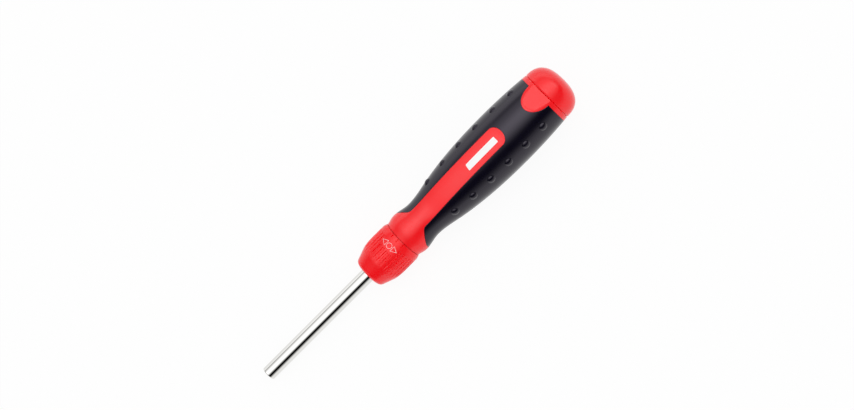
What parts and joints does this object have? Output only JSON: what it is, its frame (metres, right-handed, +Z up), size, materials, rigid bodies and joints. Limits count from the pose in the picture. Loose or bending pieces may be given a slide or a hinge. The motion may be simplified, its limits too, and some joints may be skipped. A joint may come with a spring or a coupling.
{
  "type": "ratchet screwdriver",
  "caption": "Multi-bit ratchet screwdriver: chromed hex-socket shaft, grooved selector ring, soft-grip handle with rows of nubs and a turning end cap that pulls out a bit cartridge.",
  "frame": {"origin": "centre of the bit socket's mouth, at the tip of the shaft", "axes": "+X along the tool from the tip to the end cap, +Z up through the upper label strip"},
  "size_m": [0.2367, 0.0358, 0.0358],
  "materials": {
    "red_plastic": "satin moulded",
    "red_ring": "satin moulded",
    "black_rubber": "soft matte",
    "black_plastic": "satin moulded",
    "chrome_shaft": "polished plate",
    "bright_steel": "machined",
    "spring_steel": "drawn wire",
    "bit_steel": "blasted grey",
    "magnet": "nickel plated",
    "bronze": "sintered",
    "cast_zinc": "die cast",
    "o_ring_rubber": "smooth"
  },
  "bodies": {
    "handle": {"handle_core": "red_plastic", "grip_sleeve": "black_rubber", "ratchet_housing": "cast_zinc", "front_bush": "bronze", "thrust_washer": "bright_steel", "rear_bearing": "bronze", "pawl_pins": "bright_steel", "pawl_spring": "spring_steel", "detent_spring": "spring_steel", "selector_snap_ring": "spring_steel"},
    "shaft": {"shaft": "chrome_shaft", "drive_gear": "bright_steel", "gear_key": "bright_steel", "bit_magnet": "magnet", "bit_clip": "spring_steel"},
    "selector": {"selector_ring": "red_ring"},
    "pawl_forward": {"pawl_forward": "bright_steel"},
    "pawl_reverse": {"pawl_reverse": "bright_steel"},
    "cartridge": {"bit_cartridge": "black_plastic", "cartridge_o_ring": "o_ring_rubber", "bit_phillips": "bit_steel", "bit_small_phillips": "bit_steel", "bit_slotted": "bit_steel", "bit_square": "bit_steel", "bit_star": "bit_steel", "bit_hex": "bit_steel"},
    "end_cap": {"end_cap": "red_plastic", "cap_screw": "bright_steel", "cap_washer": "bright_steel"}
  },
  "joints": [
    {"name": "shaft_spin", "type": "hinge", "parent": "handle", "child": "shaft", "pos_m": [0.0923, 0, 0], "axis": [1, 0, 0], "continuous": true},
    {"name": "selector_turn", "type": "hinge", "parent": "handle", "child": "selector", "pos_m": [0.0965, 0, 0], "axis": [1, 0, 0], "range_deg": [-17, 17], "deforming": ["pawl_spring", "detent_spring"]},
    {"name": "pawl_forward_swing", "type": "hinge", "parent": "handle", "child": "pawl_forward", "pos_m": [0.0965, -0.0037, 0.00793], "axis": [1, 0, 0], "range_deg": [-6.5, 6.5]},
    {"name": "pawl_reverse_swing", "type": "hinge", "parent": "handle", "child": "pawl_reverse", "pos_m": [0.0965, -0.0037, -0.00793], "axis": [1, 0, 0], "range_deg": [-6.5, 6.5]},
    {"name": "cartridge_slide", "type": "slide", "parent": "handle", "child": "cartridge", "axis": [1, 0, 0], "range_m": [0, 0.0511]},
    {"name": "cap_spin", "type": "hinge", "parent": "cartridge", "child": "end_cap", "pos_m": [0.23, 0, 0], "axis": [1, 0, 0], "continuous": true}
  ],
  "couplings": [
    {"joint": "pawl_forward_swing", "follows": "selector_turn", "ratio": 0.38},
    {"joint": "pawl_reverse_swing", "follows": "selector_turn", "ratio": 0.38}
  ]
}
